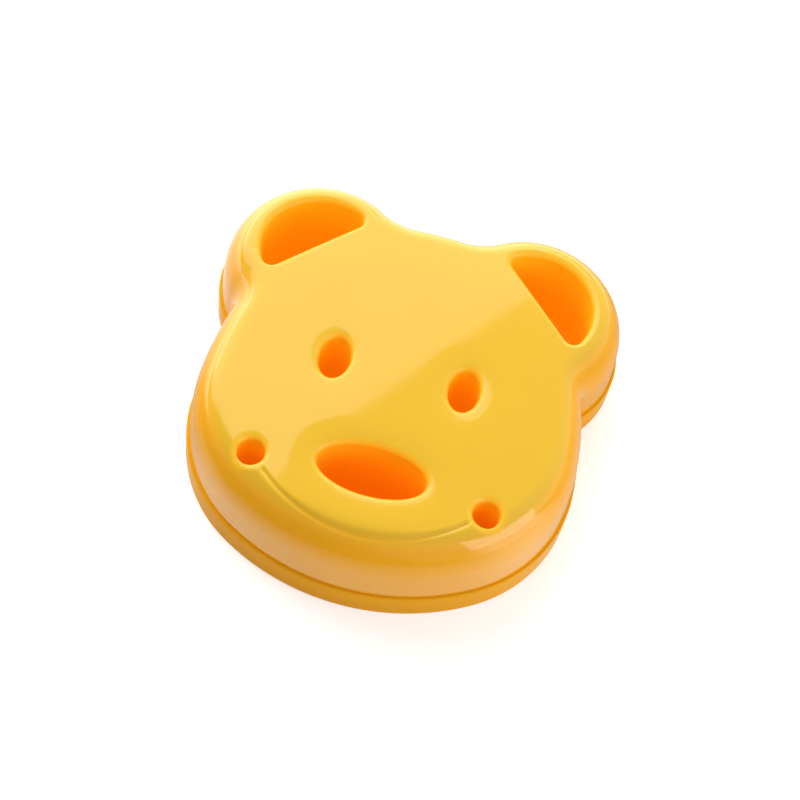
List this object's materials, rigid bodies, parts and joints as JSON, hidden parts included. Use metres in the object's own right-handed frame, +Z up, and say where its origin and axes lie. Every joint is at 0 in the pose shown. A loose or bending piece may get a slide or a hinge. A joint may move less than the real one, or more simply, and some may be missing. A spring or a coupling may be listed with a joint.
{
  "type": "sandwich cutter",
  "caption": "Bear-head sandwich cutter: a cutting ring with a lift-off domed press whose hollow stamps mark a plain animal face in the bread.",
  "frame": {"origin": "middle of the base, on the plane of the cutting edge", "axes": "+X from the left ear to the right ear as seen from the front, +Y from the chin to the ears, +Z up from the cutting edge to the face"},
  "size_m": [0.0954, 0.0946, 0.028],
  "materials": {
    "yellow_plastic": "gloss"
  },
  "bodies": {
    "ring": {"cutting_ring": "yellow_plastic"},
    "press": {"face_press": "yellow_plastic"}
  },
  "joints": [
    {"name": "press_lift", "type": "slide", "parent": "ring", "child": "press", "axis": [0, 0, 1], "range_m": [0, 0.025]}
  ]
}
